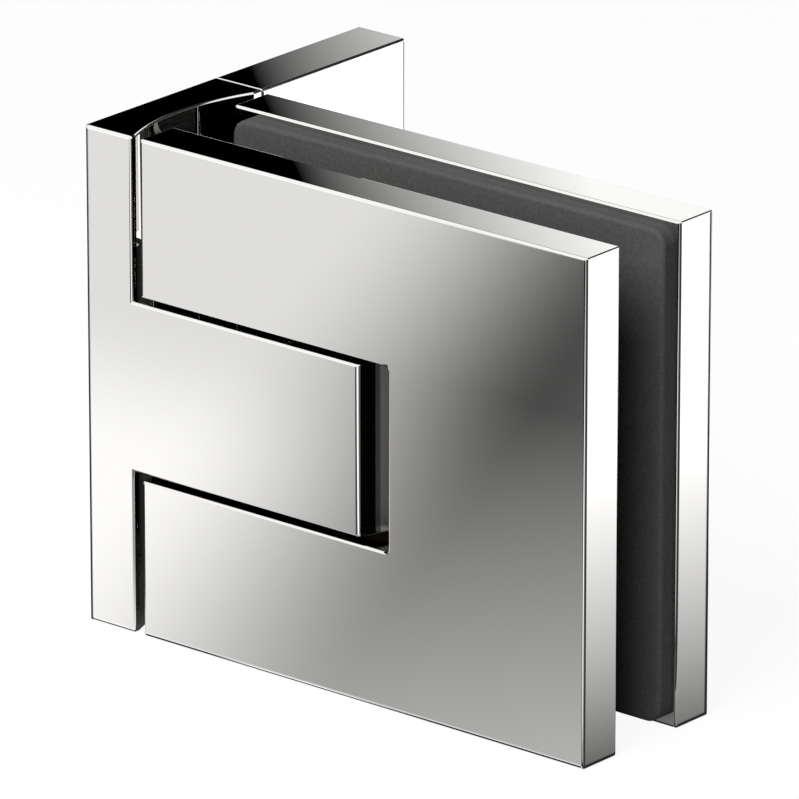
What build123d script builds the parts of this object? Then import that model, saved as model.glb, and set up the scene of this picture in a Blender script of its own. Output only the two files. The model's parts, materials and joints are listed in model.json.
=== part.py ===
from build123d import *
import math
import os

# Wall-to-glass door hinge, in millimetres.
# X runs out from the wall, Y along the wall towards the screw cover, Z up along the pivot.
# The origin is the middle of the face that lies against the wall.

# Whole hinge
hinge_height = 90.0
edge_round = 0.5            # polished outer edges

# Wall bracket
bracket_thickness = 10.3
bracket_width = 72.4        # along the wall, cover included
body_overhang = 0.8         # thick body past the rear clamp plate
flange_thickness = 5.0
flange_clearance = 0.15     # flange inside the cover
wall_screw_hole = 5.5
wall_screw_head = 10.4      # countersink mouth
wall_screw_spacing_y = 18.0
wall_screw_spacing_z = 60.0

# Screw cover
cover_wall = 3.0
cover_face = 2.0
cover_screw_diameter = 3.0
cover_screw_recess = 0.25
cover_screw_margin = 9.0    # from each end of the cover

# Glass clamp
clamp_length = 97.65
clamp_wall_gap = 2.05       # clamp to bracket, door in line
clamp_plate_thickness = 8.8
glass_gap = 9.8             # free slot between the pads
pad_thickness = 3.0
pad_inset = 1.1             # rear pad inside its plate
front_pad_inset = 2.7       # front pad, set back so that the plate hides it
pad_near_inset = 2.0
pad_strip_height = 8.5      # pad above and below the glass cut-out
pad_corner_radius = 2.2
pad_setback = 1.7           # pad behind the end of the notch

# Swing
pivot_offset = 46.0         # pivot axis from the wall
tongue_height = 30.6
pivot_gap = 1.55            # above and below the tongue
swing_clearance = 1.3       # clamp corners inside the hollow of the bracket
nose_reach = 14.7           # tongue's side faces past the pivot
nose_bulge = 3.8            # how far the nose bows out in plan
nose_clearance = 0.5        # nose corners inside the notch

# Pivot
pin_diameter = 12.0
pin_neck_step = 1.0
pin_flat_depth = 0.8
running_clearance = 0.04    # radial, pin in bush
bush_wall = 2.0
bush_land = 1.8             # bore left bare between a bush and the plunger
washer_diameter = 16.0
washer_play = 0.05

# Pin holders
holder_wall = 3.5
holder_fit = 0.1            # holder in its channel, each side
holder_gap = 0.3            # holder to the rear plate, and to the pads
holder_chamfer = 0.4
channel_depth = 0.75
holder_screw_diameter = 4.0
holder_screw_head = 7.0
holder_screw_head_height = 4.0
holder_screw_length = 16.0
holder_screw_land = 0.8     # holder left around the screw's counterbore
lock_screw_diameter = 5.0
lock_screw_recess = 0.3

# Clamp screws
clamp_screw_diameter = 6.0
clamp_screw_head = 12.0
clamp_screw_length = 28.0
screw_hole_clearance = 0.2  # radial, where a screw passes without thread
thread_fit = 0.02           # radial, where a screw is held
thread_runout = 1.0         # blind hole past the screw's end

# Self-centring plunger
plunger_diameter = 9.9
plunger_fit = 0.05
plunger_head_length = 9.0
plunger_stem_diameter = 4.4
plunger_stem_length = 6.0
plunger_play = 0.05         # tip to the pin's full radius
spring_wire = 1.2
spring_diameter = 8.4
spring_turns = 5
spring_steps = 12           # straight lengths to a turn
plug_diameter = 12.0
plug_length = 6.0
plug_recess = 0.5

# Places worked out from the sizes above
half_height = hinge_height / 2
front_y = -bracket_width / 2
rear_y = bracket_width / 2
clamp_depth = 2 * (clamp_plate_thickness + pad_thickness) + glass_gap
clamp_rear_y = front_y + clamp_depth
pivot_y = front_y + clamp_depth / 2
seam_y = clamp_rear_y + body_overhang
clamp_near_x = bracket_thickness + clamp_wall_gap
clamp_far_x = clamp_near_x + clamp_length
front_inner_y = front_y + clamp_plate_thickness
rear_inner_y = clamp_rear_y - clamp_plate_thickness
scoop_radius = math.hypot(pivot_offset - clamp_near_x, clamp_depth / 2) + swing_clearance

tongue_top = tongue_height / 2
notch_top = tongue_top + pivot_gap
nose_corner_radius = math.hypot(nose_reach, clamp_depth / 2)
notch_end_x = pivot_offset + math.sqrt(
    (nose_corner_radius + nose_clearance) ** 2 - (pivot_y - front_inner_y) ** 2
)

pin_radius = pin_diameter / 2
neck_radius = pin_radius - pin_neck_step
bush_radius = pin_radius + running_clearance + bush_wall
plunger_bore_radius = plunger_diameter / 2 + plunger_fit
bush_length = tongue_top - plunger_bore_radius - bush_land
washer_thickness = pivot_gap - washer_play

cutout_top = half_height - pad_inset - pad_strip_height
cutout_end_x = notch_end_x + pad_setback
holder_width = 2 * (neck_radius + holder_wall)
holder_top = cutout_top - holder_gap
holder_front_y = front_inner_y - channel_depth
holder_rear_y = rear_inner_y - holder_gap
channel_width = holder_width + 2 * holder_fit
counterbore_radius = holder_screw_head / 2 + screw_hole_clearance
holder_screw_z = holder_top - holder_screw_land - counterbore_radius
neck_top = holder_screw_z - counterbore_radius - holder_screw_land
neck_length = neck_top - notch_top
lock_screw_z = notch_top + neck_length / 2
neck_flat_x = pivot_offset - neck_radius + pin_flat_depth

clamp_screw_near_x = (clamp_near_x + pivot_offset - channel_width / 2) / 2
clamp_screw_far_x = (pivot_offset + channel_width / 2 + cutout_end_x) / 2
clamp_screw_z = (notch_top + cutout_top) / 2

flange_top = half_height - cover_wall - flange_clearance
flange_rear_y = rear_y - cover_wall - flange_clearance
wall_screw_y = (seam_y + flange_rear_y) / 2
plunger_tip_x = pivot_offset - pin_radius - plunger_play
plunger_shoulder_x = plunger_tip_x - plunger_head_length
plug_inner_x = plug_recess + plug_length


def block(low, high):
    """A plain block between two opposite corners."""
    size = [b - a for a, b in zip(low, high)]
    middle = [(a + b) / 2 for a, b in zip(low, high)]
    return Pos(*middle) * Box(*size)


def upright(outline, y_start, thickness):
    """Extrudes an outline drawn in X and Z towards +Y."""
    return extrude(Plane.XZ.offset(-y_start) * outline, -thickness)


def bar_x(radius, x_start, x_end, y=0.0, z=0.0):
    """A round bar along X."""
    length = x_end - x_start
    return Pos((x_start + x_end) / 2, y, z) * Rot(Y=90) * Cylinder(radius, length)


def bar_y(radius, y_start, y_end, x=0.0, z=0.0):
    """A round bar along Y."""
    length = y_end - y_start
    return Pos(x, (y_start + y_end) / 2, z) * Rot(X=90) * Cylinder(radius, length)


def rounded_rims(shape, axis):
    """Rounds the edges of a shape's two end faces along an axis."""
    groups = shape.edges().group_by(axis)
    return fillet(groups[0] + groups[-1], edge_round)


def turned(points):
    """Revolves a closed radius and height profile about Z."""
    face = make_face(Polyline(*[(r, 0, z) for r, z in points], close=True))
    return revolve(face, Axis.Z, 360)


def hex_socket(across_flats, depth):
    """A hexagon recess whose mouth is at z = 0."""
    outline = RegularPolygon(across_flats / 2, 6, major_radius=False)
    return extrude(outline, -depth)


def countersunk_screw(diameter, head, length, socket):
    """Flat-headed screw along -Z, with the top of its head at z = 0."""
    cone_height = (head - diameter) / 2
    shape = Pos(Z=-cone_height / 2) * Cone(diameter / 2, head / 2, cone_height)
    shank = length - cone_height
    shape += Pos(Z=-cone_height - shank / 2) * Cylinder(diameter / 2, shank)
    return shape - hex_socket(socket, cone_height * 0.75)


def cap_screw(diameter, head, head_height, length, socket):
    """Cylinder-headed screw along -Z, with the underside of its head at z = 0."""
    r = diameter / 2
    shape = turned([
        (0, head_height),
        (head / 2, head_height),
        (head / 2, 0),
        (r, 0),
        (r, -length),
        (0, -length),
    ])
    return shape - Pos(Z=head_height) * hex_socket(socket, head_height / 2)


def grub_screw(diameter, length, socket):
    """Headless screw along -Z, with its driven end at z = 0."""
    shape = Pos(Z=-length / 2) * Cylinder(diameter / 2, length)
    return shape - hex_socket(socket, length / 2)


def bracket_body():
    """Thick front part of the wall plate, hollowed in plan around the sweep of the clamp."""
    body = block((0, front_y, -half_height), (bracket_thickness, seam_y, half_height))
    body -= Pos(pivot_offset, pivot_y) * Cylinder(scoop_radius, 2 * hinge_height)
    return rounded_rims(body, Axis.Y)


def tongue():
    """Knuckle that carries the pivot, flush with the clamp front and back, its nose bowed in plan."""
    side_x = pivot_offset + nose_reach
    nose = ThreePointArc(
        (side_x, front_y), (side_x + nose_bulge, pivot_y), (side_x, clamp_rear_y)
    )
    sides = Polyline((side_x, clamp_rear_y), (0, clamp_rear_y), (0, front_y), (side_x, front_y))
    outline = make_face(nose + sides)
    shape = extrude(Pos(Z=-tongue_top) * outline, tongue_height)
    groups = shape.edges().group_by(Axis.Y)
    free = [e for e in groups[0] + groups[-1] if (e @ 0.5).X > edge_round]
    return fillet(free, edge_round)


def wall_bracket():
    """Body, tongue and screw flange in one piece, with the pivot, plunger and screw bores."""
    shape = bracket_body() + tongue()
    shape += block((0, pivot_y, -flange_top), (flange_thickness, flange_rear_y, flange_top))

    shape -= Pos(pivot_offset, pivot_y) * Cylinder(bush_radius, 2 * tongue_height)
    shape -= bar_x(plunger_bore_radius, 0, pivot_offset, pivot_y)
    shape -= bar_x(plug_diameter / 2 + thread_fit, 0, plug_inner_x, pivot_y)

    sink_depth = (wall_screw_head - wall_screw_hole) / 2
    sink = Cone(wall_screw_hole / 2, wall_screw_head / 2, sink_depth)
    for side_y in (-0.5, 0.5):
        for side_z in (-0.5, 0.5):
            y = wall_screw_y + side_y * wall_screw_spacing_y
            z = side_z * wall_screw_spacing_z
            shape -= bar_x(wall_screw_hole / 2, 0, flange_thickness, y, z)
            shape -= Pos(flange_thickness - sink_depth / 2, y, z) * Rot(Y=90) * sink
    return shape


def cover_screw_places():
    """Y of the two screws in the underside of the cover."""
    return (seam_y + cover_screw_margin, rear_y - cover_screw_margin)


def cover_cap():
    """Hollow cover over the flange, open to the wall and notched where the flange enters."""
    shell = block((0, seam_y, -half_height), (bracket_thickness, rear_y, half_height))
    shell = rounded_rims(shell, Axis.X)
    pocket_top = half_height - cover_wall
    pocket_x = bracket_thickness - cover_face
    shell -= block(
        (0, seam_y + cover_wall, -pocket_top), (pocket_x, rear_y - cover_wall, pocket_top)
    )
    shell -= block(
        (0, seam_y, -pocket_top),
        (flange_thickness + flange_clearance, seam_y + cover_wall, pocket_top),
    )
    hole = Cylinder(cover_screw_diameter / 2 + thread_fit, 2 * cover_wall)
    for y in cover_screw_places():
        shell -= Pos(flange_thickness / 2, y, -half_height) * hole
    return shell


def cover_screw(y):
    """Set screw that holds the cover against the lower edge of the flange."""
    length = half_height - cover_screw_recess - flange_top
    screw = grub_screw(cover_screw_diameter, length, cover_screw_diameter / 2)
    return Pos(flange_thickness / 2, y, cover_screw_recess - half_height) * Rot(X=180) * screw


def bush(side):
    """Plain bearing pressed into one end of the tongue."""
    ring = Cylinder(bush_radius, bush_length) - Cylinder(pin_radius + running_clearance, bush_length)
    return Pos(pivot_offset, pivot_y, side * (tongue_top - bush_length / 2)) * ring


def thrust_washer(side):
    """Plastic washer between the tongue and a pin holder."""
    middle = side * (notch_top - washer_thickness / 2)
    ring = Cylinder(washer_diameter / 2, washer_thickness)
    ring -= Cylinder(pin_radius + thread_fit, washer_thickness)
    return Pos(pivot_offset, pivot_y, middle) * ring


def centring_plunger():
    """Stepped plunger whose flat tip faces the flat of the pin."""
    r = plunger_diameter / 2
    head = turned([
        (0, 0),
        (r, 0),
        (r, -plunger_head_length),
        (plunger_stem_diameter / 2, -plunger_head_length),
        (plunger_stem_diameter / 2, -plunger_head_length - plunger_stem_length),
        (0, -plunger_head_length - plunger_stem_length),
    ])
    return Pos(plunger_tip_x, pivot_y) * Rot(Y=90) * head


def centring_spring():
    """Compression spring wound around the plunger's stem, from the plug to the shoulder."""
    coil_radius = (spring_diameter - spring_wire) / 2
    rise = plunger_shoulder_x - plug_inner_x - spring_wire
    start_x = plug_inner_x + spring_wire / 2
    steps = spring_turns * spring_steps
    places = []
    for step in range(steps + 1):
        angle = math.radians(step * 360 / spring_steps)
        places.append((
            start_x + rise * step / steps,
            pivot_y + coil_radius * math.cos(angle),
            coil_radius * math.sin(angle),
        ))
    path = Polyline(*places)
    section = Plane(origin=path @ 0, z_dir=path % 0) * RegularPolygon(spring_wire / 2, 6)
    return sweep(section, path, transition=Transition.RIGHT)


def spring_plug():
    """Threaded plug that closes the plunger bore from the wall side."""
    plug = grub_screw(plug_diameter, plug_length, plug_diameter / 2)
    return Pos(plug_recess, pivot_y) * Rot(Y=-90) * plug


def clamp_outline():
    """Rectangle with the notch for the tongue, in X and Z."""
    middle_x = (clamp_near_x + clamp_far_x) / 2
    plate = Pos(middle_x, 0) * Rectangle(clamp_length, hinge_height)
    notch_length = notch_end_x - clamp_near_x
    notch = Pos(clamp_near_x + notch_length / 2, 0) * Rectangle(notch_length, 2 * notch_top)
    return plate - notch


def clamp_screw_places():
    """X and Z of the four screws that draw the clamp plates together."""
    return [
        (x, side * clamp_screw_z)
        for side in (1, -1)
        for x in (clamp_screw_near_x, clamp_screw_far_x)
    ]


def front_plate():
    """Clean outer plate with blind threads and the channel that locates the pin holders."""
    plate = upright(clamp_outline(), front_y, clamp_plate_thickness)
    plate = rounded_rims(plate, Axis.Y)
    half_channel = channel_width / 2
    plate -= block(
        (pivot_offset - half_channel, holder_front_y, -half_height),
        (pivot_offset + half_channel, front_inner_y, half_height),
    )
    screw_end_y = clamp_rear_y - clamp_screw_length
    for x, z in clamp_screw_places():
        thread = clamp_screw_diameter / 2 + thread_fit
        plate -= bar_y(thread, screw_end_y - thread_runout, front_inner_y, x, z)
    holder_screw_end_y = holder_seat_y() - holder_screw_length
    for side in (1, -1):
        thread = holder_screw_diameter / 2 + thread_fit
        plate -= bar_y(
            thread,
            holder_screw_end_y - thread_runout,
            front_inner_y,
            pivot_offset,
            side * holder_screw_z,
        )
    return plate


def rear_plate():
    """Plate on the screw side of the glass, with four countersunk holes."""
    plate = upright(clamp_outline(), rear_inner_y, clamp_plate_thickness)
    plate = rounded_rims(plate, Axis.Y)
    hole_radius = clamp_screw_diameter / 2 + screw_hole_clearance
    sink_radius = clamp_screw_head / 2 + screw_hole_clearance
    sink_depth = sink_radius - hole_radius
    for x, z in clamp_screw_places():
        plate -= bar_y(hole_radius, rear_inner_y, clamp_rear_y, x, z)
        sink = Cone(hole_radius, sink_radius, sink_depth)
        plate -= Pos(x, clamp_rear_y - sink_depth / 2, z) * Rot(X=-90) * sink
    return plate


def glass_pad(y_start, inset):
    """Rubber pad with the same cut-out as the glass, set back from the edges of its plate."""
    near_x = clamp_near_x + pad_near_inset
    far_x = clamp_far_x - inset
    pad_height = hinge_height - 2 * inset
    outline = Pos((near_x + far_x) / 2, 0) * Rectangle(far_x - near_x, pad_height)
    cutout_length = cutout_end_x - near_x
    outline -= Pos(near_x + cutout_length / 2, 0) * Rectangle(cutout_length, 2 * cutout_top)
    corner = min(pad_corner_radius, 0.4 * (pad_height / 2 - cutout_top))
    outline = fillet(outline.vertices(), corner)
    return upright(outline, y_start, pad_thickness)


def pivot_pin():
    """Shouldered pin with a centring flat in the middle and a locking flat on each neck."""
    half = [
        (0, neck_top),
        (neck_radius, neck_top),
        (neck_radius, notch_top),
        (pin_radius, notch_top),
    ]
    pin = turned(half + [(r, -z) for r, z in reversed(half)])
    pin = Pos(pivot_offset, pivot_y) * pin
    pin -= block(
        (pivot_offset - 2 * pin_radius, pivot_y - pin_radius, -plunger_bore_radius),
        (pivot_offset - pin_radius + pin_flat_depth, pivot_y + pin_radius, plunger_bore_radius),
    )
    for side in (1, -1):
        flat = block(
            (pivot_offset - pin_diameter, pivot_y - pin_radius, lock_screw_z - lock_screw_diameter / 2),
            (neck_flat_x, pivot_y + pin_radius, lock_screw_z + lock_screw_diameter / 2),
        )
        pin -= flat if side > 0 else mirror(flat, Plane.XY)
    return pin


def holder_seat_y():
    """Y of the shoulder that the holder screw's head pulls on."""
    return holder_rear_y - holder_screw_head_height - holder_gap


def pin_holder(side):
    """Block screwed into the channel of the front plate that holds one end of the pin."""
    half_width = holder_width / 2
    shape = block(
        (pivot_offset - half_width, holder_front_y, notch_top),
        (pivot_offset + half_width, holder_rear_y, holder_top),
    )
    shape = chamfer(shape.edges(), holder_chamfer)
    neck_bore = Cylinder(neck_radius + thread_fit, neck_length)
    shape -= Pos(pivot_offset, pivot_y, (notch_top + neck_top) / 2) * neck_bore
    shape -= bar_x(
        lock_screw_diameter / 2 + thread_fit,
        pivot_offset - half_width,
        pivot_offset,
        pivot_y,
        lock_screw_z,
    )
    shape -= bar_y(
        holder_screw_diameter / 2 + screw_hole_clearance,
        holder_front_y,
        holder_rear_y,
        pivot_offset,
        holder_screw_z,
    )
    shape -= bar_y(
        counterbore_radius, holder_seat_y(), holder_rear_y, pivot_offset, holder_screw_z
    )
    return shape if side > 0 else mirror(shape, Plane.XY)


def holder_screw(side):
    """Socket cap screw from the holder into the front plate."""
    screw = cap_screw(
        holder_screw_diameter,
        holder_screw_head,
        holder_screw_head_height,
        holder_screw_length,
        0.75 * holder_screw_diameter,
    )
    return Pos(pivot_offset, holder_seat_y(), side * holder_screw_z) * Rot(X=-90) * screw


def pin_lock_screw(side):
    """Set screw that bears on the flat of the pin's neck."""
    start_x = pivot_offset - holder_width / 2 + lock_screw_recess
    screw = grub_screw(lock_screw_diameter, neck_flat_x - start_x, lock_screw_diameter / 2)
    return Pos(start_x, pivot_y, side * lock_screw_z) * Rot(Y=-90) * screw


def clamp_screw(x, z):
    """Countersunk screw from the rear plate into the front plate."""
    screw = countersunk_screw(
        clamp_screw_diameter,
        clamp_screw_head,
        clamp_screw_length,
        2 * clamp_screw_diameter / 3,
    )
    return Pos(x, clamp_rear_y, z) * Rot(X=-90) * screw


parts = {
    "wall_bracket": wall_bracket(),
    "cover_cap": cover_cap(),
    "centring_plunger": centring_plunger(),
    "centring_spring": centring_spring(),
    "spring_plug": spring_plug(),
    "front_plate": front_plate(),
    "rear_plate": rear_plate(),
    "front_pad": glass_pad(front_inner_y, front_pad_inset),
    "rear_pad": glass_pad(rear_inner_y - pad_thickness, pad_inset),
    "pivot_pin": pivot_pin(),
}
for number, y in enumerate(cover_screw_places(), start=1):
    parts[f"cover_screw_{number}"] = cover_screw(y)
for name, side in (("upper", 1), ("lower", -1)):
    parts[f"{name}_bush"] = bush(side)
    parts[f"{name}_thrust_washer"] = thrust_washer(side)
    parts[f"{name}_pin_holder"] = pin_holder(side)
    parts[f"{name}_holder_screw"] = holder_screw(side)
    parts[f"{name}_pin_lock_screw"] = pin_lock_screw(side)
for number, (x, z) in enumerate(clamp_screw_places(), start=1):
    parts[f"clamp_screw_{number}"] = clamp_screw(x, z)

os.makedirs("parts", exist_ok=True)
for name, shape in parts.items():
    export_step(shape, f"parts/{name}.step")
print(len(parts), "parts written")
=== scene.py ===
import json
import math
import bpy
import numpy as np
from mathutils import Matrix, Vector
from mathutils.geometry import tessellate_polygon


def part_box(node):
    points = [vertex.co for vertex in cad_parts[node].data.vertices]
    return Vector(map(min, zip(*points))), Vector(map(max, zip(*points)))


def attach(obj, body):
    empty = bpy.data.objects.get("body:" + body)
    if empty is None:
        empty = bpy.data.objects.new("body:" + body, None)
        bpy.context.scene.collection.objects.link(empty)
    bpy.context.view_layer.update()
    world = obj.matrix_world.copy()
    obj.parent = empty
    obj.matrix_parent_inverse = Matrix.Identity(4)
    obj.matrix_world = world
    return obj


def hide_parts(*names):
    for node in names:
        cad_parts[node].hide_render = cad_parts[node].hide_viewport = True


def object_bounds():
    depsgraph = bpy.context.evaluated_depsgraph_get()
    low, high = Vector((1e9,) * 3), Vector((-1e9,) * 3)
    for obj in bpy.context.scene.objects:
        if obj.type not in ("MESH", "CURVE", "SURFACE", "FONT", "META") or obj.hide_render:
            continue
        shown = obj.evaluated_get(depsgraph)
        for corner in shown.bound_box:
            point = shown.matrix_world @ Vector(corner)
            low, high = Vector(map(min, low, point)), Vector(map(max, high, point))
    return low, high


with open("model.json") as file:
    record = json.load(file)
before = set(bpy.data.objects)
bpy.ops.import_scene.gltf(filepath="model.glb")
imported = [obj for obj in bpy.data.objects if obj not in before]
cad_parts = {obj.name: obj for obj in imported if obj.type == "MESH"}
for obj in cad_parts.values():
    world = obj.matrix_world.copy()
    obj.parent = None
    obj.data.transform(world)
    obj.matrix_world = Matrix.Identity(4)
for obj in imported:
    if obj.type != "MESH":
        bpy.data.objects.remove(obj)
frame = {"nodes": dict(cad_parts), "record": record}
cadLow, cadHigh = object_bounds()
nodes = frame["nodes"]
slotOf = {row["node"]: row["material_slot"] for row in frame["record"]["subparts"]}
bodyOf = {node: body for body, members in frame["record"]["behaviour"]["bodies"].items() for node in members}
print("hinge frame loaded:", len(nodes), "pieces")


# a colour as written in a paint program, turned to the linear values that the shaders want
def linearColour(hexText):
    parts = np.array([int(hexText[i:i + 2], 16) for i in (1, 3, 5)]) / 255
    linear = np.where(parts <= 0.04045, parts / 12.92, ((parts + 0.055) / 1.055) ** 2.4)
    return (*linear.tolist(), 1.0)


# adds one node; a value may be a number, a vector, a colour, or a node or socket to link from
def addNode(tree, kind, inputs=None, stops=None, **settings):
    node = tree.nodes.new("ShaderNode" + kind)
    for key, value in settings.items():
        setattr(node, key, value)
    for key, value in (inputs or {}).items():
        if isinstance(value, bpy.types.Node):
            value = next(socket for socket in value.outputs if socket.enabled)
        if isinstance(value, bpy.types.NodeSocket):
            tree.links.new(value, node.inputs[key])
        else:
            node.inputs[key].default_value = value
    for place, tone in stops or ():             # grey stops of a colour ramp
        stop = node.color_ramp.elements.new(place)
        stop.color = (tone, tone, tone, 1.0)
    if stops:                                   # the ramp's own two ends take the tones of the outer stops
        for extra in [e for e in node.color_ramp.elements if e.position in (0.0, 1.0)][:2]:
            tone = stops[0][1] if extra.position == 0.0 else stops[-1][1]
            extra.color = (tone, tone, tone, 1.0)
    return node


def blankMaterial(name):
    material = bpy.data.materials.new(name)
    material.use_nodes = True
    material.node_tree.nodes.clear()
    return material, material.node_tree


cameraView = {"azimuth": 40.07, "elevation": 19.60, "distance": 1.785, "lens": 470.6,
              "aim": (0.0468, -0.0087, -0.0014)}   # degrees, degrees, metres, millimetres, metres


def makeCamera():
    turn, lift = math.radians(cameraView["azimuth"]), math.radians(cameraView["elevation"])
    back = Vector((math.sin(turn) * math.cos(lift), -math.cos(turn) * math.cos(lift), math.sin(lift)))
    data = bpy.data.cameras.new("hingeCamera")
    data.lens = cameraView["lens"]
    data.clip_start, data.clip_end = 0.05, 20
    camera = bpy.data.objects.new("hingeCamera", data)
    camera.location = Vector(cameraView["aim"]) + back * cameraView["distance"]
    camera.rotation_mode = "QUATERNION"
    camera.rotation_quaternion = (-back).to_track_quat("-Z", "Y")
    bpy.context.scene.collection.objects.link(camera)
    bpy.context.scene.camera = camera
    return back, camera.location.copy()


viewBack, cameraPlace = makeCamera()
bpy.context.scene.view_settings.view_transform = "Standard"
print("camera set")


# The floor is white to the camera and keeps the shadow. Mirrors see grey shapes printed on it. All tones below are
# how bright they look in the plating, so they are divided by how much it reflects. Places and widths are in metres.
plating = {"colour": "#dddcda", "reflects": 0.716}
# a point of the flat front, x across and z up, mirrors the floor "rise" times further forward than it is high,
# and "away" times its height further left. Pairs of heights are where a tone begins and ends on the front
frontTone = {"rise": 2.149, "away": 1.807, "left": 0.732, "lowLeft": 0.975, "leftHeights": (0.016, -0.016),
             "valley": 0.068, "valleyLow": 0.355, "valleyHeights": (0.018, -0.045),
             "valleyX": 0.1014, "valleyZ": 0.014, "valleySlope": 0.765, "valleyWidth": 0.072,
             "climb": 1.74, "climbWidth": 0.2, "farWhite": 1.1, "farHeights": (0.0535, 0.0585)}
# thin lines that outline the plates, each a pair of distances out from an edge between which the tone changes
lineTone = {"frontWhite": (-0.0020, -0.0011), "underFront": (-0.0005, -0.0004), "leftDark": (-0.00058, -0.0004),
            "endFoot": (0.0012, 0.0016), "endStart": (-0.0006, -0.0005), "pastRear": (-0.0012, -0.0009)}
# beside the far end: tone = acrossX * x + alongY * y + base, between two angles in degrees
endTone = {"acrossX": 8.36, "alongY": 1.76, "base": -0.728, "least": 0.05, "most": 1.1, "angles": (42, 46)}
# seen by the rounded upright edges, by degrees about the far front corner. It starts a few parts of a turn past
# the flat front's last mirrored angle
edgeTone = {"stops": [(-128, 0.02), (-107, 0.02), (-98, 1.1), (-72, 1.1), (-58, 0.14), (-32, 0.14), (-22, 0.03),
                      (36, 0.03)], "pastFlat": (0.0002, 0.001)}
# behind the hinge: dark, with a white bar far back that the bracket's inner side mirrors
backTone = {"dark": 0.02, "white": 1.5, "barStart": (0.085, 0.1), "barEnd": (0.18, 0.19), "farBack": (0.05, 0.08),
            "offFront": (0.004, 0.012)}
# the floor's own look: matt where lamps and shadows show, its bounce on other pieces, and how much of it is plain white
floorLook = {"matt": "#f4f4f4", "bounce": "#8c8c8c", "whiteShare": 0.93, "halfSize": 3.0, "gap": 0.0002}
# the card for the flat tops: its place and size, then where its climb to white starts, along the tops and by depth
cardTone = {"distance": 0.6, "width": 0.9, "height": 0.44, "middle": 0.26, "start": 0.0112, "length": 0.0500,
            "acrossScale": 0.987, "climb": 0.1140, "white": 0.90}
worldTone = {"front": 1.15, "back": 0.03, "turn": (0.46, 0.56), "plain": 0.17}


def stagePlane(name, corners):
    mesh = bpy.data.meshes.new(name)
    mesh.from_pydata([tuple(c) for c in corners], [], [(0, 1, 2, 3)])
    plane = bpy.data.objects.new(name, mesh)
    bpy.context.scene.collection.objects.link(plane)
    return plane


# where a tone changes: between a pair of distances from a start
def between(start, pair):
    return {"From Min": start + pair[0], "From Max": start + pair[1]}


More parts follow.
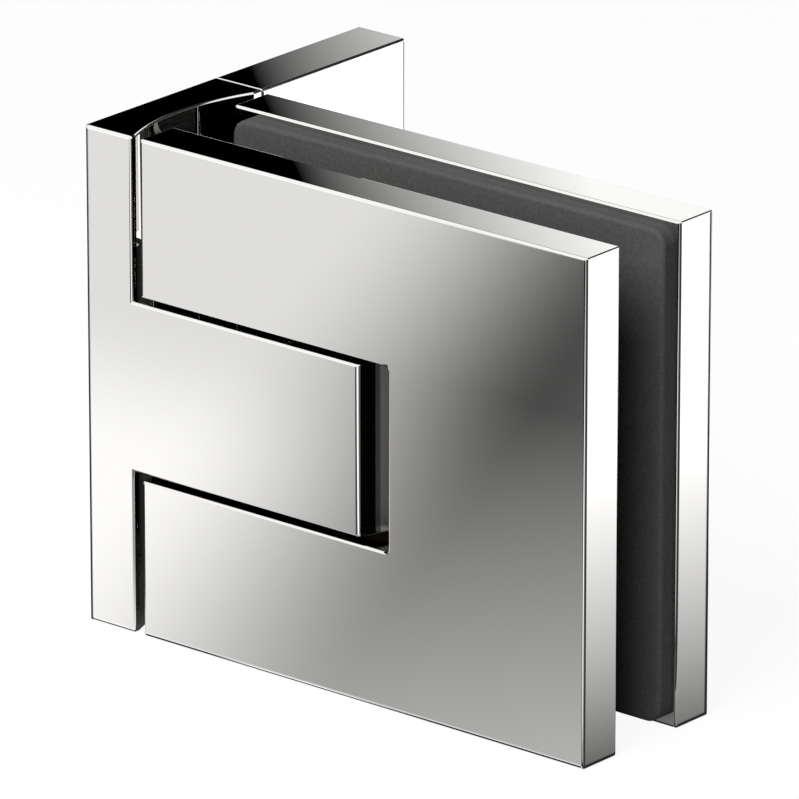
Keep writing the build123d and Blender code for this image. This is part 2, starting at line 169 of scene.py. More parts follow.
def floorMaterial():
    material, tree = blankMaterial("studioFloor")
    f, line, front, gain = frontTone, lineTone, cadLow.y, 1 / plating["reflects"]
    dark = backTone["dark"] * gain
    place = addNode(tree, "TexCoord").outputs["Object"]
    x, y = addNode(tree, "SeparateXYZ", {0: place}).outputs[:2]

    def floorY(z):                              # where the height z of the front is mirrored
        return front - f["rise"] * (z - cadLow.z)

    # signed distance from the dark valley's line, as a dot product of the place
    slant = (1, (f["valleySlope"] - f["away"]) / f["rise"], 0)
    offset = (f["away"] / f["rise"] * front - f["valleyX"]
              - f["valleySlope"] * (cadLow.z + front / f["rise"] - f["valleyZ"]))
    fromValley = addNode(tree, "VectorMath", {0: place, 1: slant}, operation="DOT_PRODUCT").outputs["Value"]
    leftShare = addNode(tree, "MapRange", {"Value": fromValley, "From Min": -offset,
                        "From Max": -f["valleyWidth"] - offset}, interpolation_type="SMOOTHSTEP")
    top, bottom = f["leftHeights"]
    leftTone = addNode(tree, "MapRange", {"Value": y, "From Min": floorY(top), "From Max": floorY(bottom),
                       "To Min": f["left"] * gain, "To Max": f["lowLeft"] * gain}, interpolation_type="SMOOTHSTEP")
    top, bottom = f["valleyHeights"]
    valleyTone = addNode(tree, "MapRange", {"Value": y, "From Min": floorY(top), "From Max": floorY(bottom),
                         "To Min": f["valley"] * gain, "To Max": f["valleyLow"] * gain})
    climb = addNode(tree, "MapRange", {"Value": fromValley, "From Min": -offset, "From Max": f["climbWidth"] - offset,
                    "To Max": f["climbWidth"] * f["climb"] * gain})
    valleyTone = addNode(tree, "Math", {0: valleyTone, 1: climb}, operation="ADD")
    tone = addNode(tree, "MapRange", {"Value": leftShare, "To Min": valleyTone, "To Max": leftTone})
    # far out in front, which only the rounded edges mirror, it is white; so is the strip along the foot
    near, far = f["farHeights"]
    farOut = addNode(tree, "MapRange", {"Value": y, "From Min": floorY(near), "From Max": floorY(far)})
    tone = addNode(tree, "MapRange", {"Value": farOut, "To Min": tone, "To Max": f["farWhite"] * gain})
    foot = addNode(tree, "MapRange", {"Value": y, **between(front, line["frontWhite"])})
    tone = addNode(tree, "MapRange", {"Value": foot, "To Min": tone, "To Max": gain})
    # further left than the front face mirrors, and behind the front, it is dark
    mirrorAway = Vector((-cameraPlace.x, cameraPlace.y - front, 0)).normalized()
    leftWay = (mirrorAway.y, -mirrorAway.x, 0)
    leftLine = addNode(tree, "VectorMath", {0: place, 1: leftWay}, operation="DOT_PRODUCT").outputs["Value"]
    leftEdge = leftWay[1] * front + leftWay[0] * cadLow.x
    tone = addNode(tree, "MapRange", {"Value": leftLine, **between(leftEdge, line["leftDark"]),
                   "To Min": tone, "To Max": dark})
    under = addNode(tree, "MapRange", {"Value": y, **between(front, line["underFront"])})
    tone = addNode(tree, "MapRange", {"Value": under, "To Min": tone, "To Max": dark})
    # around the far front corner, by angle
    corner = addNode(tree, "Mapping", {"Vector": place, "Location": (-cadHigh.x, -front, 0)})
    angle = addNode(tree, "TexGradient", {"Vector": corner}, gradient_type="RADIAL").outputs["Fac"]
    stops = [(0.5 + degrees / 360, grey) for degrees, grey in edgeTone["stops"]]
    ring = addNode(tree, "ValToRGB", {"Fac": angle}, stops=stops).outputs[0]
    ring = addNode(tree, "VectorMath", {0: ring, "Scale": gain}, operation="SCALE").outputs["Vector"]
    ring = addNode(tree, "SeparateXYZ", {0: ring}).outputs[0]
    flatLimit = 0.5 + math.atan2(cameraPlace.y - front, cadHigh.x - cameraPlace.x) / (2 * math.pi)
    inRing = addNode(tree, "MapRange", {"Value": angle, **between(flatLimit, edgeTone["pastFlat"])})
    tone = addNode(tree, "MapRange", {"Value": inRing, "To Min": tone, "To Max": ring})
    # beside the far end, right of a line that leaves the rear corner in the way the end faces look
    ends, weights = endTone, (endTone["acrossX"], endTone["alongY"], 0)
    endSum = addNode(tree, "VectorMath", {0: place, 1: weights}, operation="DOT_PRODUCT").outputs["Value"]
    least, most = ends["least"], ends["most"]
    endSum = addNode(tree, "MapRange", {"Value": endSum, "From Min": least - ends["base"],
                     "From Max": most - ends["base"], "To Min": least * gain, "To Max": most * gain})
    turns = [degrees / 360 for degrees in ends["angles"]]
    inEnd = addNode(tree, "MapRange", {"Value": angle, **between(0.5, turns)})
    frontSide = addNode(tree, "MapRange", {"Value": inEnd, "To Min": tone, "To Max": endSum})
    # a dark line along the foot of the end faces
    footLine = addNode(tree, "MapRange", {"Value": x, **between(cadHigh.x, line["endFoot"])})
    tone = addNode(tree, "MapRange", {"Value": footLine, "To Min": dark, "To Max": frontSide})
    isEnd = addNode(tree, "MapRange", {"Value": x, **between(cadHigh.x, line["endStart"])})
    tone = addNode(tree, "MapRange", {"Value": isEnd, "To Min": frontSide, "To Max": tone})
    # past the line on which the rear plate's far edge is mirrored, it is dark but for the white bar far back
    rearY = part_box("rear_plate")[1].y
    slope = (rearY - cameraPlace.y) / (cameraPlace.x - cadHigh.x)
    rearLine = addNode(tree, "VectorMath", {0: place, 1: (-slope, 1, 0)}, operation="DOT_PRODUCT").outputs["Value"]
    rearStart = rearY - slope * cadHigh.x
    past = addNode(tree, "MapRange", {"Value": rearLine, **between(rearStart, line["pastRear"])})
    back = backTone
    bar = addNode(tree, "MapRange", {"Value": rearLine, **between(rearStart, back["barStart"]),
                  "To Min": dark, "To Max": back["white"] * gain})
    bar = addNode(tree, "MapRange", {"Value": rearLine, **between(rearStart, back["barEnd"]),
                  "To Min": bar, "To Max": dark})
    isFarBack = addNode(tree, "MapRange", {"Value": y, **between(0, back["farBack"])})
    backDark = addNode(tree, "MapRange", {"Value": isFarBack, "To Min": dark, "To Max": bar})
    isBack = addNode(tree, "MapRange", {"Value": y, **between(front, back["offFront"])})
    past = addNode(tree, "Math", {0: past, 1: isBack}, operation="MULTIPLY")
    tone = addNode(tree, "MapRange", {"Value": past, "To Min": tone, "To Max": backDark})

    path = addNode(tree, "LightPath")
    mirrored = addNode(tree, "Emission", {"Strength": tone})
    matt = addNode(tree, "BsdfDiffuse", {"Color": linearColour(floorLook["matt"])})
    bounce = addNode(tree, "BsdfDiffuse", {"Color": linearColour(floorLook["bounce"])})
    white = addNode(tree, "Emission", {"Strength": 1.0})
    seen = addNode(tree, "MixShader", {0: floorLook["whiteShare"], 1: matt, 2: white})
    other = addNode(tree, "MixShader", {0: path.outputs["Is Glossy Ray"], 1: bounce, 2: mirrored})
    mixed = addNode(tree, "MixShader", {0: path.outputs["Is Camera Ray"], 1: other, 2: seen})
    addNode(tree, "OutputMaterial", {"Surface": mixed})
    return material


# card behind the hinge, which only the flat tops mirror: black at the left, climbing to white at the right
def cardMaterial(across, baseHeight):
    material, tree = blankMaterial("gradientCard")
    c = cardTone
    place = addNode(tree, "TexCoord").outputs["Object"]
    spread = (cameraView["distance"] + c["distance"]) / cameraView["distance"]
    slope = math.tan(math.radians(cameraView["elevation"]))
    aimAcross = Vector(cameraView["aim"]).dot(across)
    weights = across * (c["acrossScale"] / spread) + Vector((0, 0, -c["climb"] / slope))
    offset = c["acrossScale"] * aimAcross * (1 - 1 / spread) + c["climb"] * (c["distance"] + baseHeight / slope)
    along = addNode(tree, "VectorMath", {0: place, 1: tuple(weights)}, operation="DOT_PRODUCT").outputs["Value"]
    start = c["start"] - offset
    tone = addNode(tree, "MapRange", {"Value": along, "From Min": start, "From Max": start + c["length"],
                   "To Max": c["white"] / plating["reflects"]})
    light = addNode(tree, "Emission", {"Strength": tone})
    addNode(tree, "OutputMaterial", {"Surface": light})
    return material


def makeStudio():
    size, z = floorLook["halfSize"], cadLow.z - floorLook["gap"]
    floor = stagePlane("studioFloor", [(-size, -size, z), (size, -size, z), (size, size, z), (-size, size, z)])
    floor.data.materials.append(floorMaterial())
    away = Vector((-viewBack.x, -viewBack.y, 0)).normalized()
    across = Vector((away.y, -away.x, 0))
    centre = away * cardTone["distance"] + Vector((0, 0, cardTone["middle"]))
    side, rise = across * cardTone["width"] / 2, Vector((0, 0, cardTone["height"] / 2))
    low, high = centre - rise, centre + rise
    card = stagePlane("gradientCard", [low - side, low + side, high + side, high - side])
    card.data.materials.append(cardMaterial(across, cadHigh.z))
    card.visible_camera = card.visible_diffuse = card.visible_shadow = False
    world = bpy.data.worlds.new("studioWorld")
    bpy.context.scene.world = world
    world.use_nodes = True
    tree = world.node_tree
    tree.nodes.clear()
    place = addNode(tree, "TexCoord").outputs["Generated"]
    y = addNode(tree, "SeparateXYZ", {0: place}).outputs[1]
    # a white tent in front and overhead, dark behind; plain grey for everything that isn't a mirror
    w, gain = worldTone, 1 / plating["reflects"]
    tent = addNode(tree, "MapRange", {"Value": y, **between(0, w["turn"]),
                   "To Min": w["front"] * gain, "To Max": w["back"] * gain})
    path = addNode(tree, "LightPath")
    plain = addNode(tree, "MapRange", {"Value": path.outputs["Is Glossy Ray"], "To Min": w["plain"], "To Max": tent})
    strength = addNode(tree, "MapRange", {"Value": path.outputs["Is Camera Ray"], "To Min": plain, "To Max": 1.0})
    background = addNode(tree, "Background", {"Strength": strength})
    addNode(tree, "OutputWorld", {"Surface": background})


makeStudio()


lampAim = Vector((0.05, 0, 0))
lamps = {"softOverhead": {"place": (0.1, -0.7, 0.75), "size": 0.6, "power": 17.0},
         "softSide": {"place": (0.62, -0.88, 0.3), "size": 0.3, "power": 3.4}}
for name, row in lamps.items():
    data = bpy.data.lights.new(name, "AREA")
    data.size, data.energy = row["size"], row["power"]
    lamp = bpy.data.objects.new(name, data)
    lamp.location = row["place"]
    lamp.rotation_mode = "QUATERNION"
    lamp.rotation_quaternion = (lampAim - Vector(row["place"])).to_track_quat("-Z", "Y")
    lamp.visible_glossy = False                 # the mirrors see the studio's shapes only
    bpy.context.scene.collection.objects.link(lamp)
print("studio lit")


# Finishes: colour, metallic, roughness low and high, dark and light specks as shares of the colour, grain in mm
# and how it is stretched, bump height in mm
finishes = {
    # brass polished and nickel-chrome plated: a clear mirror with the faintest orange peel left by the buff
    "polishedChromePlate": {"slot": "polished_chrome", "colour": plating["colour"], "metallic": 1.0,
                            "rough": (0.004, 0.012), "grain": 9.0, "stretch": (1, 1, 1), "bump": 0.00004},
    # EPDM pad pressed in a sand-blasted mould: dark grey, matt, with an even fine grain
    "mouldedEpdmRubber": {"slot": "black_rubber", "colour": "#414141", "metallic": 0.0, "rough": (0.55, 0.75),
                          "specular": 0.12, "specks": (0.55, 1.45), "grain": 0.4, "stretch": (1, 1, 1), "bump": 0.06},
    # A2 stainless steel, turned: warm grey with fine rings
    "turnedStainlessSteel": {"slot": "stainless_steel", "colour": "#c6c3be", "metallic": 1.0, "rough": (0.2, 0.34),
                             "grain": 0.35, "stretch": (1, 1, 3), "bump": 0.004},
    # patented spring wire, drawn: blue-grey with lengthwise draw marks
    "drawnSpringWire": {"slot": "spring_steel", "colour": "#a3a5ab", "metallic": 1.0, "rough": (0.28, 0.42),
                        "grain": 0.3, "stretch": (0.25, 1, 1), "bump": 0.003},
    # sintered bronze bush: brown-gold and slightly porous
    "sinteredBronze": {"slot": "bearing_bronze", "colour": "#c08f55", "metallic": 1.0, "rough": (0.35, 0.55),
                       "grain": 0.25, "stretch": (1, 1, 1), "bump": 0.008},
    # free-cutting brass, milled: yellow with faint cutter marks
    "milledBrass": {"slot": "machined_brass", "colour": "#d8b56c", "metallic": 1.0, "rough": (0.18, 0.34),
                    "grain": 0.5, "stretch": (0.2, 1, 1), "bump": 0.004},
    # acetal washer, turned from rod: black with a waxy sheen
    "turnedAcetal": {"slot": "black_acetal", "colour": "#1d1d1f", "metallic": 0.0, "rough": (0.3, 0.42),
                     "specks": (0.55, 1.45), "grain": 0.3, "stretch": (1, 1, 4), "bump": 0.004},
}
cloudSize = 22.0                                # mm, the patches over which roughness wanders on every finish


def makeFinish(name, f):
    material = bpy.data.materials.new(name)
    material.use_nodes = True
    tree = material.node_tree
    shader = tree.nodes["Principled BSDF"]
    place = addNode(tree, "TexCoord").outputs["Object"]
    spread = addNode(tree, "Mapping", {"Vector": place, "Scale": f["stretch"]})
    grain = addNode(tree, "TexNoise", {"Vector": spread, "Scale": 1000 / f["grain"], "Detail": 3.0,
                    "Roughness": 0.6}).outputs["Fac"]
    cloud = addNode(tree, "TexNoise", {"Vector": place, "Scale": 1000 / cloudSize, "Detail": 2.0}).outputs["Fac"]
    rough = addNode(tree, "MapRange", {"Value": cloud, "From Min": 0.3, "From Max": 0.7,
                    "To Min": f["rough"][0], "To Max": f["rough"][1]})
    bump = addNode(tree, "Bump", {"Height": grain, "Strength": 1.0, "Distance": f["bump"] / 1000})
    shader.inputs["Base Color"].default_value = linearColour(f["colour"])
    if "specks" in f:                           # the grain also shows as dark and light specks
        dark, light = (np.array(linearColour(f["colour"])) * share for share in f["specks"])
        speck = addNode(tree, "Mix", {0: grain, 6: (*dark[:3], 1), 7: (*light[:3], 1)}, data_type="RGBA").outputs[2]
        tree.links.new(speck, shader.inputs["Base Color"])
    shader.inputs["Metallic"].default_value = f["metallic"]
    shader.inputs["Specular IOR Level"].default_value = f.get("specular", 0.5)
    tree.links.new(rough.outputs[0], shader.inputs["Roughness"])
    tree.links.new(bump.outputs[0], shader.inputs["Normal"])
    return material


# painted shade: the end wall of the clamp's notch gets a dark grey colour and a rougher finish in place of the mirror.
# It is black near the front and lighter from "turnY" back, standing in for the shade deep in the recess. Places and
# widths are in metres
recessShade = {"fromX": 0.0664, "toX": 0.06738, "halfHeight": 0.0169, "turnY": -0.0324, "turnWidth": 0.0003,
          "climbWidth": 0.001, "fullY": -0.0310, "frontTone": 0.004, "midTone": 0.29, "rearTone": 0.85, "rough": 0.45}


# painted shade: darkens and roughens the plating's colour on the notch's end wall, black near the front and lighter
# towards the back
def paintRecessShade(material):
    tree, r = material.node_tree, recessShade
    shader = tree.nodes["Principled BSDF"]
    x, y, z = addNode(tree, "SeparateXYZ", {0: addNode(tree, "TexCoord").outputs["Object"]}).outputs
    tone = addNode(tree, "MapRange", {"Value": y, "From Min": r["turnY"], "From Max": r["turnY"] + r["turnWidth"],
                   "To Min": r["frontTone"], "To Max": r["midTone"]})
    tone = addNode(tree, "MapRange", {"Value": y, "From Min": r["turnY"] + r["climbWidth"], "From Max": r["fullY"],
                   "To Min": tone, "To Max": r["rearTone"]})
    isRight = addNode(tree, "Math", {0: x, 1: r["fromX"]}, operation="GREATER_THAN")
    isLeft = addNode(tree, "Math", {0: x, 1: r["toX"]}, operation="LESS_THAN")
    height = addNode(tree, "Math", {0: z}, operation="ABSOLUTE")
    isLow = addNode(tree, "Math", {0: height, 1: r["halfHeight"]}, operation="LESS_THAN")
    inside = addNode(tree, "Math", {0: isRight, 1: isLeft}, operation="MULTIPLY")
    inside = addNode(tree, "Math", {0: inside, 1: isLow}, operation="MULTIPLY")
    # the painted shade colour, a grey that rises from black along y
    shadeColour = addNode(tree, "CombineColor", {0: tone, 1: tone, 2: tone})
    polish, bright = shader.inputs["Roughness"].links[0].from_socket, shader.inputs["Base Color"].default_value[:]
    rough = addNode(tree, "MapRange", {"Value": inside, "To Min": polish, "To Max": r["rough"]}).outputs[0]
    colour = addNode(tree, "Mix", {0: inside, 6: bright, 7: shadeColour}, data_type="RGBA").outputs[2]
    tree.links.new(rough, shader.inputs["Roughness"])
    tree.links.new(colour, shader.inputs["Base Color"])


finishOf = {f["slot"]: makeFinish(name, f) for name, f in finishes.items()}
# painted shade on the notch's end wall of the plating
paintRecessShade(finishOf["polished_chrome"])
for name, node in nodes.items():
    for slot in node.material_slots:
        slot.material = finishOf[slotOf[name]]
print("finishes set")


# Pieces. Every size below is in millimetres, and becomes metres when a piece is made.
def span(node):
    return [np.array(corner) * 1000 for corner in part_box(node)]


# a closed outline, counter-clockwise, from rows of place, place, corner radius, rim radius of the edge that follows.
# A corner of radius R is an arc: its centre is R inside both edges, and its points are centre + R * normal.
# Returns the points, their outward normals, the way each one moves in at a rim, its rim radius, and whether it has one.
def roundedOutline(rows, steps=5):
    rows = np.array(rows, float)
    place, radius, rimAfter = rows[:, :2], rows[:, 2:3], rows[:, 3:4]
    rimBefore = np.roll(rimAfter, 1)
    after = np.roll(place, -1, axis=0) - place
    after /= np.linalg.norm(after, axis=1)[:, None]
    before = np.roll(after, 1, axis=0)
    turn = np.arctan2(before[:, 0] * after[:, 1] - before[:, 1] * after[:, 0], (before * after).sum(1))[:, None]
    outBefore, outAfter = (np.stack([d[:, 1], -d[:, 0]], axis=-1)[:, None] for d in (before, after))
    isCurve = np.abs(turn) < 0.25               # radians; a point on a drawn curve keeps one mean normal
    share = np.linspace(0, 1, steps + 1)[None]
    angle = np.where(isCurve, turn / 2, share * turn)[..., None]
    normal = np.cos(angle) * outBefore + np.sin(angle) * np.stack([-outBefore[..., 1], outBefore[..., 0]], axis=-1)
    side = np.sign(turn)[..., None]
    reach = radius * np.tan(np.abs(turn) / 2)
    centre = (place - before * reach)[:, None] - side * radius[..., None] * outBefore
    points = centre + side * radius[..., None] * normal
    isSharp = (radius == 0) & ~isCurve
    sharpInset = -(outBefore * (rimBefore > 0)[..., None] + outAfter * (rimAfter > 0)[..., None])
    inset = np.where(isSharp[..., None], sharpInset, -normal)
    rim = rimBefore + (rimAfter - rimBefore) * share
    isRimmed = rim > 0
    rim = np.where(isSharp, np.maximum(rimBefore, rimAfter), rim)
    keep = np.ones(rim.shape, bool)
    keep[isSharp[:, 0], 1:-1] = False
    keep[isCurve[:, 0], 1:] = False
    return points[keep], normal[keep], inset[keep], rim[keep], isRimmed[keep]


def inverted(outline):                          # the same outline as the wall of a hole
    return (outline[0], -outline[1], *outline[2:])


# two flat places and a height, put in order for an axis: 0 is X, 1 is Y, 2 is Z
def inSpace(flat, height, axis):
    height = np.broadcast_to(height, flat.shape[:-1])
    return np.concatenate([flat[..., :axis], height[..., None], flat[..., axis:]], axis=-1)


# rows of points and normals become quads; the last column joins the first
def gridSurface(points, normals):
    rows, columns = points.shape[:2]
    r, c = np.meshgrid(np.arange(rows - 1) * columns, np.arange(columns), indexing="ij")
    beside = (c + 1) % columns
    quads = np.stack([r + c, r + beside, r + columns + beside, r + columns + c], axis=-1)
    return points.reshape(-1, 3), quads.reshape(-1, 4), normals.reshape(-1, 3)


# an outline pulled along an axis. Each end may have a quarter-round rim of radius R: at angle t
# the outline has moved in by R(1 - sin t) and the height by R(1 - cos t)
def pulledWall(outline, low, high, axis, lowRim=True, highRim=True, steps=6):
    points, normals, insets, rims, isRimmed = outline
    t = np.linspace(0, math.pi / 2, steps + 1)[:, None]
    inward, rise = rims * (1 - np.sin(t)), rims * (1 - np.cos(t))
    tilt, side = np.where(isRimmed, np.cos(t), 0.0), np.where(isRimmed, np.sin(t), 1.0)
    places, directions = [], []
    for hasRim, height, sign in ((lowRim, low, 1), (highRim, high, -1)):
        if hasRim:
            place = inSpace(points + inward[..., None] * insets, height + sign * rise, axis)
            direction = inSpace(side[..., None] * normals, -sign * tilt, axis)
        else:
            place, direction = inSpace(points, height, axis)[None], inSpace(normals, 0.0, axis)[None]
        places.append(place[::sign])
        directions.append(direction[::sign])
    return gridSurface(np.concatenate(places), np.concatenate(directions))


# a pulled wall without its quads that lie flat at a height along an axis, to be made again with holes in it
def withoutFlat(surface, height, axis):
    points, faces, normals = surface
    isFlat = (np.abs(points[faces][..., axis] - height) < 1e-6).all(axis=1)
    return points, faces[~isFlat], normals


# the flat end of a pulled outline, with holes in it; sign is the way it looks along its axis
def flatEnd(outline, height, axis, sign, holes=(), hasRim=True):
    points, _, insets, rims, _ = outline
    loops = [points + (rims[:, None] * insets if hasRim else 0)] + list(holes)
    flat = np.concatenate(loops)
    faces = tessellate_polygon([[Vector((*p, 0)) for p in loop] for loop in loops])
    normal = np.zeros(3)
    normal[axis] = sign
    return inSpace(flat, float(height), axis), np.array(faces), np.tile(normal, (len(flat), 1))


def ringAngles(count):
    return np.arange(count) * 2 * math.pi / count


def circle(centre, radius, count=48):
    angle = ringAngles(count)
    return np.array(centre) + radius * np.stack([np.cos(angle), np.sin(angle)], axis=-1)


# a radius and height profile turned about an axis: place = centre + r (cos a, sin a), height h.
# Profile corners under 35 degrees are shaded smooth. outward is -1 for a hole, or for a profile that runs downwards
def turnedSurface(profile, centre, axis, outward=1, count=48):
    profile = np.array(profile, float)
    run = np.diff(profile, axis=0)
    run /= np.linalg.norm(run, axis=1)[:, None]
    side = np.stack([run[:, 1], -run[:, 0]], axis=-1)
    ends = np.stack([side, side], axis=1)       # for each straight, the normals at its start and end
    mean = side[1:] + side[:-1]
    isSmooth = (side[1:] * side[:-1]).sum(1) > math.cos(math.radians(35))
    ends[1:, 0][isSmooth] = ends[:-1, 1][isSmooth] = mean[isSmooth] / np.linalg.norm(mean[isSmooth], axis=1)[:, None]
    ends = (outward * ends).reshape(-1, 2)
    corners = np.stack([profile[:-1], profile[1:]], axis=1).reshape(-1, 2)
    angle = ringAngles(count)
    ring = np.stack([np.cos(angle), np.sin(angle)], axis=-1)[None]
    points = inSpace(np.array(centre) + corners[:, :1, None] * ring, np.repeat(corners[:, 1:], count, 1), axis)
    normals = inSpace(ends[:, :1, None] * ring, np.repeat(ends[:, 1:], count, 1), axis)
    return gridSurface(points, normals)


# normals of a wrapped grid: the cross product of its two directions, turned to agree with a rough outward way
def gridNormals(points, outward):
    normals = np.cross(np.gradient(points, axis=0), np.roll(points, -1, axis=1) - np.roll(points, 1, axis=1))
    return normals * np.sign((normals * outward).sum(-1, keepdims=True))


# depth, run-in and run-out are shares of the pitch; the neck under a head is in mm
threadForm = {"depth": 0.58, "runIn": 0.6, "runOut": 0.5, "neck": 0.6, "stepsPerTurn": 8}


# a screw thread: the radius falls by the depth as a triangle wave of height / pitch - angle / turn, and fades
# over one pitch at both ends
def threadSurface(radius, pitch, low, high, centre, axis, count):
    low, high = min(low, high), max(low, high)
    height = np.linspace(low, high, int((high - low) / pitch * threadForm["stepsPerTurn"]) + 1)[:, None]
    angle = ringAngles(count)[None]
    wave = (height - low) / pitch - angle / (2 * math.pi)
    wave = 1 - 2 * np.abs(wave - np.floor(wave) - 0.5)
    fade = np.clip(np.minimum(height - low, high - height) / pitch, 0, 1)
    r = radius - threadForm["depth"] * pitch * fade * wave
    ring = np.stack([np.cos(angle), np.sin(angle)], axis=-1)
    points = inSpace(np.array(centre) + r[..., None] * ring, height + 0 * angle, axis)
    return gridSurface(points, gridNormals(points, inSpace(ring + 0 * r[..., None], 0.0, axis)))


# joins surfaces into one object. Edges in one place are welded, slivers dropped, and each face is turned
# the way its own normals look; the normals are kept, so flats stay flat and rims round
def makePiece(name, surfaces, cadNode):
    points = np.concatenate([s[0] for s in surfaces])
    normals = np.concatenate([s[2] for s in surfaces])
    normals = normals / np.linalg.norm(normals, axis=1)[:, None]
    _, firsts, weld = np.unique(np.round(points, 5), axis=0, return_index=True, return_inverse=True)
    weld = weld.ravel()
    offsets = np.cumsum([0] + [len(s[0]) for s in surfaces])
    corners, sizes = [], []
    for surface, offset in zip(surfaces, offsets):
        faces = surface[1] + offset
        isDouble = weld[faces] == weld[np.roll(faces, -1, axis=1)]
        groups = [faces[~isDouble.any(1)]]
        if faces.shape[1] == 4:                 # a quad with one double corner is a triangle
            oneDouble = isDouble.sum(1) == 1
            groups.append(faces[oneDouble][~isDouble[oneDouble]].reshape(-1, 3))
        for group in groups:
            p = points[group]
            way = np.cross(p[:, 2] - p[:, 0], p[:, -1] - p[:, 1])
            isWrong = (way * normals[group].sum(axis=1)).sum(1) < 0
            group = np.where(isWrong[:, None], group[:, ::-1], group)
            corners.append(group.ravel())
            sizes.append(np.full(len(group), group.shape[1]))
    corners, sizes = np.concatenate(corners), np.concatenate(sizes)
    mesh = bpy.data.meshes.new(name)
    mesh.vertices.add(len(firsts))
    mesh.vertices.foreach_set("co", (points[firsts] * 0.001).astype(np.float32).ravel())
    mesh.loops.add(len(corners))
    mesh.loops.foreach_set("vertex_index", weld[corners].astype(np.int32))
    mesh.polygons.add(len(sizes))
    mesh.polygons.foreach_set("loop_start", (np.cumsum(sizes) - sizes).astype(np.int32))
    mesh.update(calc_edges=True)
    mesh.polygons.foreach_set("use_smooth", np.ones(len(sizes), bool))
    mesh.normals_split_custom_set(normals[corners])
    mesh.materials.append(finishOf[slotOf[cadNode]])
    piece = bpy.data.objects.new(name, mesh)
    bpy.context.scene.collection.objects.link(piece)
    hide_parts(cadNode)
    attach(piece, bodyOf[cadNode])
    return piece


# clamp plates: rims are the polished outlines of the front and back, with a sharper one along the top of the
# notch, and corners are the edges through the thickness
clampForm = {"notchHalf": 16.65, "notchEnd": 67.33, "rim": 0.5, "slotRim": 0.2, "corner": 0.25, "innerCorner": 0.9,
             "channelDepth": 0.75, "channelHalf": 8.6, "pivotX": 46.0,
             "tapRadius": 3.02, "smallTapRadius": 2.02, "passRadius": 3.2, "sinkRadius": 6.2, "tapRunout": 1.0}
screwNodes = sorted(name for name in nodes if name.startswith("clamp_screw"))
screwSpots = [tuple(np.mean(span(name), axis=0)[[0, 2]]) for name in screwNodes]


def clampOutline(low, high, between=()):
    f = clampForm
    c, i, r, n, e, q = f["corner"], f["innerCorner"], f["rim"], f["notchHalf"], f["notchEnd"], f["slotRim"]
    there, back = list(between), list(between)[::-1]
    return roundedOutline([(low[0], low[2], c, r), *((x, low[2], 0, r) for x in there), (high[0], low[2], c, r),
                           (high[0], high[2], c, r), *((x, high[2], 0, r) for x in back), (low[0], high[2], c, r),
                           (low[0], n, c, q), *((x, n, 0, q) for x in there), (e, n, i, r), (e, -n, i, r),
                           *((x, -n, 0, r) for x in back), (low[0], -n, c, r)])


# the front plate is a full layer with its tapped holes stopping short of the front, and behind it
# three blocks round the channel that takes the pin holders
def makeFrontPlate():
    f = clampForm
    low, high = span("front_plate")
    c, i, r, n, e = f["corner"], f["innerCorner"], f["rim"], f["notchHalf"], f["notchEnd"]
    x1, x2 = f["pivotX"] - f["channelHalf"], f["pivotX"] + f["channelHalf"]
    floorY = high[1] - f["channelDepth"]
    full = clampOutline(low, high, (x1, x2))
    surfaces = [pulledWall(full, low[1], floorY, 1, highRim=False), flatEnd(full, low[1], 1, -1)]
    tapEnd = span(screwNodes[0])[0][1] - f["tapRunout"]
    blocks = [[(x1, n, 0, 0), (x1, high[2], 0, r), (low[0], high[2], c, r), (low[0], n, c, r)],
              [(x1, low[2], 0, 0), (x1, -n, 0, r), (low[0], -n, c, r), (low[0], low[2], c, r)],
              [(x2, low[2], 0, r), (high[0], low[2], c, r), (high[0], high[2], c, r), (x2, high[2], 0, 0),
               (x2, n, 0, r), (e, n, i, r), (e, -n, i, r), (x2, -n, 0, 0)]]
    for rows in blocks:
        left, bottom = np.min(rows, axis=0)[:2]
        right, top = np.max(rows, axis=0)[:2]
        spots = [s for s in screwSpots if left < s[0] < right and bottom < s[1] < top]
        block = roundedOutline(rows)
        surfaces.append(pulledWall(block, floorY, high[1], 1, lowRim=False))
        surfaces.append(flatEnd(block, high[1], 1, 1, [circle(spot, f["tapRadius"]) for spot in spots]))
        hole = [(0, tapEnd), (f["tapRadius"], tapEnd), (f["tapRadius"], high[1])]
        surfaces += [turnedSurface(hole, spot, 1, -1) for spot in spots]
    for node, bottom, top in (("upper_holder_screw", n, high[2]), ("lower_holder_screw", low[2], -n)):
        spot, small = np.mean(span(node), axis=0)[[0, 2]], f["smallTapRadius"]
        smallEnd = span(node)[0][1] - f["tapRunout"]
        strip = roundedOutline([(x1, bottom, 0, 0), (x2, bottom, 0, 0), (x2, top, 0, 0), (x1, top, 0, 0)])
        surfaces.append(flatEnd(strip, floorY, 1, 1, [circle(spot, small)]))
        surfaces.append(turnedSurface([(0, smallEnd), (small, smallEnd), (small, floorY)], spot, 1, -1))
    makePiece("frontPlate", surfaces, "front_plate")


def makeRearPlate():
    f = clampForm
    low, high = span("rear_plate")
    outline = clampOutline(low, high)
    sinkY = high[1] - (f["sinkRadius"] - f["passRadius"])
    surfaces = [pulledWall(outline, low[1], high[1], 1),
                flatEnd(outline, low[1], 1, -1, [circle(spot, f["passRadius"]) for spot in screwSpots]),
                flatEnd(outline, high[1], 1, 1, [circle(spot, f["sinkRadius"]) for spot in screwSpots])]
    hole = [(f["passRadius"], low[1]), (f["passRadius"], sinkY), (f["sinkRadius"], high[1])]
    surfaces += [turnedSurface(hole, spot, 1, -1) for spot in screwSpots]
    makePiece("rearPlate", surfaces, "rear_plate")


# rubber pads: pressed flat on the plate, with a small moulded rim on the side that meets the glass
padForm = {"corner": 3.2, "innerTop": 35.4, "innerEnd": 69.03, "rim": 0.8, "steps": 12}


